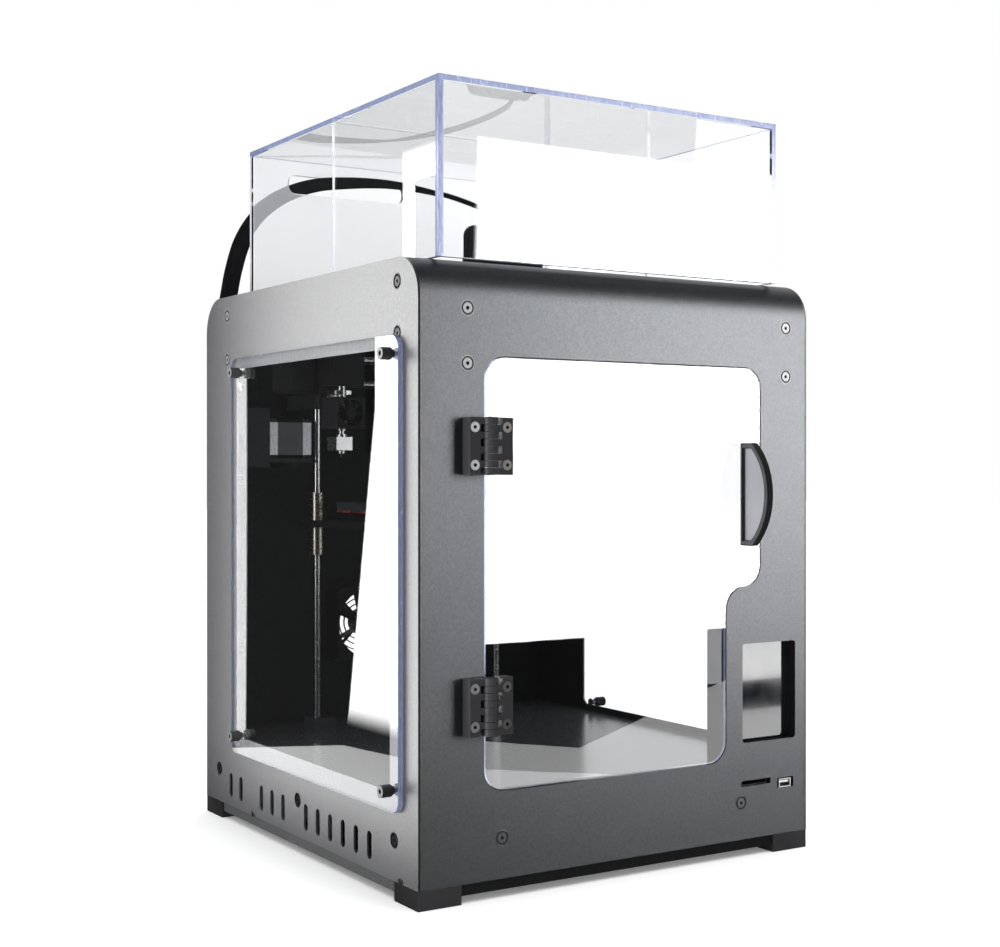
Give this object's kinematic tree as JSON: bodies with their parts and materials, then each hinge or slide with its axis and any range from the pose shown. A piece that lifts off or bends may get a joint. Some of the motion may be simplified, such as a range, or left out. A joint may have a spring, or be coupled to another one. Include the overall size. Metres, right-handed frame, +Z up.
{
  "type": "enclosed desktop 3d printer",
  "caption": "Enclosed box-shaped desktop 3D printer with independent print heads, a heated lifting bed, a hinged clear door, clear side windows and a lift-off clear lid.",
  "frame": {"origin": "on the ground, below the centre of the cabinet", "axes": "+X to the right seen from the front, +Y to the back, +Z up"},
  "size_m": [0.466, 0.5391, 0.699],
  "materials": {
    "dark_steel": "fine textured powder coat",
    "side_steel": "fine textured powder coat",
    "black_steel": "fine textured powder coat",
    "floor_steel": "smooth satin coat",
    "clear_acrylic": "clear polished acrylic",
    "black_plastic": "satin black plastic",
    "black_nylon": "moulded nylon",
    "bright_steel": "ground steel",
    "screw_steel": "plated screws",
    "lcd_glass": "glossy dark screen",
    "board_green": "circuit board",
    "supply_case": "sheet case",
    "motor_metal": "motor body with bright end caps",
    "belt_rubber": "toothed belt",
    "loom_black": "flat cable loom",
    "hotend_metal": "turned aluminium and brass",
    "nut_brass": "turned brass",
    "heater_red": "red heater board",
    "plate_glass": "dark coated glass plate",
    "switch_red": "red rocker"
  },
  "bodies": {
    "cabinet": {"front_top_shell": "dark_steel", "back_panel": "dark_steel", "left_side_panel": "side_steel", "right_side_panel": "side_steel", "base_tray": "black_steel", "feet": "black_plastic", "chamber_floor": "floor_steel", "side_windows": "clear_acrylic", "window_thumbscrews": "black_plastic", "panel_screws": "screw_steel", "hinge_frame_leaves": "black_nylon", "hinge_pins": "bright_steel", "lcd_screen": "lcd_glass", "electronics_housing": "black_plastic", "control_board": "board_green", "power_supply": "supply_case", "power_inlet": "black_plastic", "exhaust_fan_frame": "black_plastic", "y_rods": "bright_steel", "rod_supports": "black_steel", "drive_motors": "motor_metal", "drive_cover": "black_steel", "y_belts": "belt_rubber", "z_rods": "bright_steel", "lid_rear": "clear_acrylic", "umbilical": "loom_black"},
    "door": {"door_panel": "clear_acrylic", "door_handle": "black_plastic", "hinge_door_leaves": "black_nylon", "hinge_door_screws": "screw_steel"},
    "front_lid": {"lid_front": "clear_acrylic"},
    "gantry": {"x_end_blocks": "black_steel", "x_rods": "bright_steel", "x_motors": "motor_metal", "gantry_plate": "black_steel", "cable_tower": "black_plastic", "x_belts": "belt_rubber"},
    "left_head": {"left_carriage": "black_plastic", "left_hotend": "hotend_metal", "left_feeder": "black_plastic"},
    "left_fan": {"left_fan_rotor": "black_plastic"},
    "right_head": {"right_carriage": "black_plastic", "right_hotend": "hotend_metal", "right_feeder": "black_plastic"},
    "right_fan": {"right_fan_rotor": "black_plastic"},
    "bed": {"bed_bearings": "bright_steel", "bed_frame": "black_steel", "bed_nut": "nut_brass", "bed_heater": "heater_red", "build_plate": "plate_glass"},
    "front_left_knob_turn": {"front_left_knob": "black_plastic"},
    "front_right_knob_turn": {"front_right_knob": "black_plastic"},
    "rear_knob_turn": {"rear_knob": "black_plastic"},
    "lead_screw": {"z_screw": "bright_steel"},
    "y_drive_shaft": {"y_shaft": "bright_steel"},
    "y_motor_shaft": {"y_motor_pulley": "bright_steel"},
    "left_x_shaft": {"x_left_pulley": "bright_steel"},
    "right_x_shaft": {"x_right_pulley": "bright_steel"},
    "exhaust_fan": {"exhaust_rotor": "black_plastic"},
    "power_rocker": {"rocker_switch": "switch_red"}
  },
  "joints": [
    {"name": "door_swing", "type": "hinge", "parent": "cabinet", "child": "door", "pos_m": [-0.151, -0.2413, 0.29], "axis": [0, 0, -1], "range_deg": [0, 150]},
    {"name": "front_lid_lift", "type": "slide", "parent": "cabinet", "child": "front_lid", "axis": [0, 0, 1], "range_m": [0, 0.2]},
    {"name": "gantry_y_travel", "type": "slide", "parent": "cabinet", "child": "gantry", "axis": [0, 1, 0], "range_m": [-0.19, 0.06], "deforming": ["umbilical"]},
    {"name": "left_head_travel", "type": "slide", "parent": "gantry", "child": "left_head", "axis": [1, 0, 0], "range_m": [0, 0.285]},
    {"name": "right_head_travel", "type": "slide", "parent": "gantry", "child": "right_head", "axis": [1, 0, 0], "range_m": [-0.285, 0]},
    {"name": "bed_lift", "type": "slide", "parent": "cabinet", "child": "bed", "axis": [0, 0, 1], "range_m": [-0.165, 0.045]},
    {"name": "left_fan_spin", "type": "hinge", "parent": "left_head", "child": "left_fan", "pos_m": [-0.163, -0.009, 0.42], "axis": [0, 1, 0], "continuous": true},
    {"name": "right_fan_spin", "type": "hinge", "parent": "right_head", "child": "right_fan", "pos_m": [0.163, -0.009, 0.42], "axis": [0, 1, 0], "continuous": true},
    {"name": "exhaust_fan_spin", "type": "hinge", "parent": "cabinet", "child": "exhaust_fan", "pos_m": [-0.03, 0.215, 0.194], "axis": [0, 1, 0], "continuous": true},
    {"name": "front_left_knob_spin", "type": "hinge", "parent": "bed", "child": "front_left_knob_turn", "pos_m": [-0.098, -0.098, 0.299], "axis": [0, 0, 1], "continuous": true},
    {"name": "front_right_knob_spin", "type": "hinge", "parent": "bed", "child": "front_right_knob_turn", "pos_m": [0.098, -0.098, 0.299], "axis": [0, 0, 1], "continuous": true},
    {"name": "rear_knob_spin", "type": "hinge", "parent": "bed", "child": "rear_knob_turn", "pos_m": [0, 0.098, 0.299], "axis": [0, 0, 1], "continuous": true},
    {"name": "lead_screw_spin", "type": "hinge", "parent": "cabinet", "child": "lead_screw", "pos_m": [0, 0.171, 0.25], "axis": [0, 0, 1], "continuous": true},
    {"name": "y_drive_shaft_spin", "type": "hinge", "parent": "cabinet", "child": "y_drive_shaft", "pos_m": [0, 0.195, 0.494], "axis": [1, 0, 0], "continuous": true},
    {"name": "y_motor_shaft_spin", "type": "hinge", "parent": "cabinet", "child": "y_motor_shaft", "pos_m": [-0.15, 0.183, 0.398], "axis": [1, 0, 0], "continuous": true},
    {"name": "left_x_shaft_spin", "type": "hinge", "parent": "gantry", "child": "left_x_shaft", "pos_m": [-0.166, 0.04, 0.494], "axis": [0, 1, 0], "continuous": true},
    {"name": "right_x_shaft_spin", "type": "hinge", "parent": "gantry", "child": "right_x_shaft", "pos_m": [0.166, 0.04, 0.494], "axis": [0, 1, 0], "continuous": true},
    {"name": "power_rocker_tilt", "type": "hinge", "parent": "cabinet", "child": "power_rocker", "pos_m": [0.15, 0.226, 0.0625], "axis": [1, 0, 0], "range_deg": [-16, 0]}
  ],
  "couplings": [
    {"joint": "lead_screw_spin", "follows": "bed_lift", "rad_per_m": 785.4},
    {"joint": "y_drive_shaft_spin", "follows": "gantry_y_travel", "rad_per_m": 157.08},
    {"joint": "y_motor_shaft_spin", "follows": "gantry_y_travel", "rad_per_m": 157.08},
    {"joint": "left_x_shaft_spin", "follows": "left_head_travel", "rad_per_m": 157.08},
    {"joint": "right_x_shaft_spin", "follows": "right_head_travel", "rad_per_m": 157.08}
  ]
}
